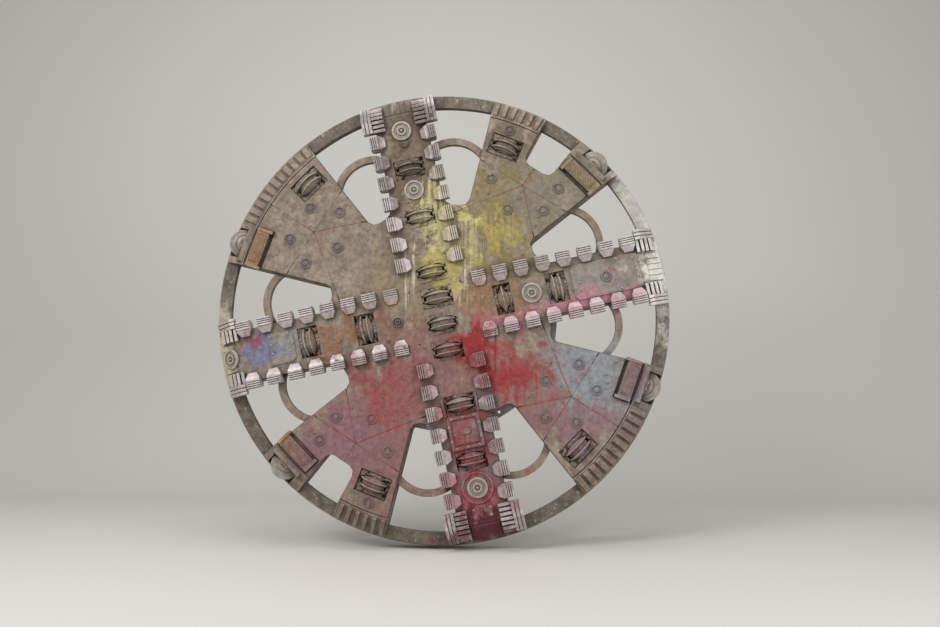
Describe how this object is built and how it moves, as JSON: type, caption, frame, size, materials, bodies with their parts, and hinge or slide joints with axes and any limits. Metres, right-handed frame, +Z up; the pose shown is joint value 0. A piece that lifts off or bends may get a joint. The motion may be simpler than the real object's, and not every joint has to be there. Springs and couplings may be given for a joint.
{
  "type": "tunnel boring machine cutterhead",
  "caption": "Round mixed-ground tunnel boring cutterhead with spokes, sector plates, disc cutters, scrapers and muck openings, turning on its main bearing.",
  "frame": {"origin": "centre of the rear face of the fixed main bearing ring, on the axis of rotation", "axes": "+Y back into the machine along the axis of rotation, so the face looks to -Y; +Z up; +X to the right seen from the front"},
  "size_m": [6.8, 1.45, 6.8],
  "materials": {
    "face_steel": "worn bare steel plate under a thin coat of dried mud, stained by dye",
    "rear_steel": "dull primer under dried mud",
    "tool_steel": "scoured pale tool steel",
    "cutter_steel": "scoured cutter rings on muddy hubs",
    "hard_facing": "rust-coloured weld-laid hard facing",
    "machined_steel": "machined and greased"
  },
  "bodies": {
    "bearing": {"bearing_outer_ring": "machined_steel"},
    "head": {"bearing_inner_ring": "machined_steel", "ring_gear": "machined_steel", "head_flange": "rear_steel", "support_legs": "rear_steel", "rotary_joint_pipe": "rear_steel", "mixing_bars": "rear_steel", "centre_block": "face_steel", "spoke_right": "face_steel", "spoke_top": "face_steel", "spoke_left": "face_steel", "spoke_bottom": "face_steel", "sector_1": "face_steel", "sector_2": "face_steel", "sector_3": "face_steel", "sector_4": "face_steel", "wear_plates": "face_steel", "rim_1": "face_steel", "rim_2": "face_steel", "rim_3": "face_steel", "rim_4": "face_steel", "grizzly_bars": "face_steel", "bevel_bars": "face_steel", "face_covers": "face_steel", "scrapers_right": "tool_steel", "scrapers_top": "tool_steel", "scrapers_left": "tool_steel", "scrapers_bottom": "tool_steel", "gauge_scrapers": "tool_steel", "gauge_housings": "face_steel", "gauge_guards": "hard_facing", "face_buttons": "face_steel", "cutter_shafts": "cutter_steel"},
    "cutter_centre_1": {"disc_centre_1": "cutter_steel"},
    "cutter_centre_2": {"disc_centre_2": "cutter_steel"},
    "cutter_centre_3": {"disc_centre_3": "cutter_steel"},
    "cutter_centre_4": {"disc_centre_4": "cutter_steel"},
    "cutter_right_1": {"disc_right_1": "cutter_steel"},
    "cutter_right_2": {"disc_right_2": "cutter_steel"},
    "cutter_top_1": {"disc_top_1": "cutter_steel"},
    "cutter_top_2": {"disc_top_2": "cutter_steel"},
    "cutter_left_1": {"disc_left_1": "cutter_steel"},
    "cutter_left_2": {"disc_left_2": "cutter_steel"},
    "cutter_bottom_1": {"disc_bottom_1": "cutter_steel"},
    "cutter_bottom_2": {"disc_bottom_2": "cutter_steel"},
    "cutter_sector_1": {"disc_sector_1": "cutter_steel"},
    "cutter_sector_2": {"disc_sector_2": "cutter_steel"},
    "cutter_sector_3": {"disc_sector_3": "cutter_steel"},
    "cutter_sector_4": {"disc_sector_4": "cutter_steel"},
    "cutter_gauge_1": {"disc_gauge_1": "cutter_steel"},
    "cutter_gauge_2": {"disc_gauge_2": "cutter_steel"},
    "cutter_gauge_3": {"disc_gauge_3": "cutter_steel"},
    "cutter_gauge_4": {"disc_gauge_4": "cutter_steel"}
  },
  "joints": [
    {"name": "head_spin", "type": "hinge", "parent": "bearing", "child": "head", "pos_m": [0, 0, 0], "axis": [0, 1, 0], "continuous": true},
    {"name": "spin_centre_1", "type": "hinge", "parent": "head", "child": "cutter_centre_1", "pos_m": [-0.13525, -1.234, 0.62555], "axis": [-0.2113, 0, 0.9774], "continuous": true},
    {"name": "spin_centre_2", "type": "hinge", "parent": "head", "child": "cutter_centre_2", "pos_m": [-0.05072, -1.234, 0.23458], "axis": [-0.2113, 0, 0.9774], "continuous": true},
    {"name": "spin_centre_3", "type": "hinge", "parent": "head", "child": "cutter_centre_3", "pos_m": [0.03381, -1.234, -0.15639], "axis": [-0.2113, 0, 0.9774], "continuous": true},
    {"name": "spin_centre_4", "type": "hinge", "parent": "head", "child": "cutter_centre_4", "pos_m": [0.11834, -1.234, -0.54735], "axis": [-0.2113, 0, 0.9774], "continuous": true},
    {"name": "spin_right_1", "type": "hinge", "parent": "head", "child": "cutter_right_1", "pos_m": [0.93832, -1.234, 0.20287], "axis": [0.9774, 0, 0.2113], "continuous": true},
    {"name": "spin_right_2", "type": "hinge", "parent": "head", "child": "cutter_right_2", "pos_m": [1.73003, -1.234, 0.37405], "axis": [0.9774, 0, 0.2113], "continuous": true},
    {"name": "spin_top_1", "type": "hinge", "parent": "head", "child": "cutter_top_1", "pos_m": [-0.31487, -1.234, 1.45635], "axis": [-0.2113, 0, 0.9774], "continuous": true},
    {"name": "spin_top_2", "type": "hinge", "parent": "head", "child": "cutter_top_2", "pos_m": [-0.47548, -1.234, 2.19919], "axis": [-0.2113, 0, 0.9774], "continuous": true},
    {"name": "spin_left_1", "type": "hinge", "parent": "head", "child": "cutter_left_1", "pos_m": [-1.10448, -1.234, -0.2388], "axis": [-0.9774, 0, -0.2113], "continuous": true},
    {"name": "spin_left_2", "type": "hinge", "parent": "head", "child": "cutter_left_2", "pos_m": [-1.95483, -1.234, -0.42265], "axis": [-0.9774, 0, -0.2113], "continuous": true},
    {"name": "spin_bottom_1", "type": "hinge", "parent": "head", "child": "cutter_bottom_1", "pos_m": [0.29163, -1.234, -1.34883], "axis": [0.2113, 0, -0.9774], "continuous": true},
    {"name": "spin_bottom_2", "type": "hinge", "parent": "head", "child": "cutter_bottom_2", "pos_m": [0.4628, -1.234, -2.14054], "axis": [0.2113, 0, -0.9774], "continuous": true},
    {"name": "spin_sector_1", "type": "hinge", "parent": "head", "child": "cutter_sector_1", "pos_m": [0.97277, -1.234, 2.50795], "axis": [0.3616, 0, 0.9323], "continuous": true},
    {"name": "spin_sector_2", "type": "hinge", "parent": "head", "child": "cutter_sector_2", "pos_m": [-2.00791, -1.234, 1.98007], "axis": [-0.712, 0, 0.7022], "continuous": true},
    {"name": "spin_sector_3", "type": "hinge", "parent": "head", "child": "cutter_sector_3", "pos_m": [-0.97277, -1.234, -2.50795], "axis": [-0.3616, 0, -0.9323], "continuous": true},
    {"name": "spin_sector_4", "type": "hinge", "parent": "head", "child": "cutter_sector_4", "pos_m": [2.00791, -1.234, -1.98007], "axis": [0.712, 0, -0.7022], "continuous": true},
    {"name": "spin_gauge_1", "type": "hinge", "parent": "head", "child": "cutter_gauge_1", "pos_m": [2.30845, -1.15, 2.24487], "axis": [0.3585, 0.866, 0.3486], "continuous": true},
    {"name": "spin_gauge_2", "type": "hinge", "parent": "head", "child": "cutter_gauge_2", "pos_m": [-3.02964, -1.15, 1.09074], "axis": [-0.4704, 0.866, 0.1694], "continuous": true},
    {"name": "spin_gauge_3", "type": "hinge", "parent": "head", "child": "cutter_gauge_3", "pos_m": [-2.30845, -1.15, -2.24487], "axis": [-0.3585, 0.866, -0.3486], "continuous": true},
    {"name": "spin_gauge_4", "type": "hinge", "parent": "head", "child": "cutter_gauge_4", "pos_m": [3.02964, -1.15, -1.09074], "axis": [0.4704, 0.866, -0.1694], "continuous": true}
  ]
}
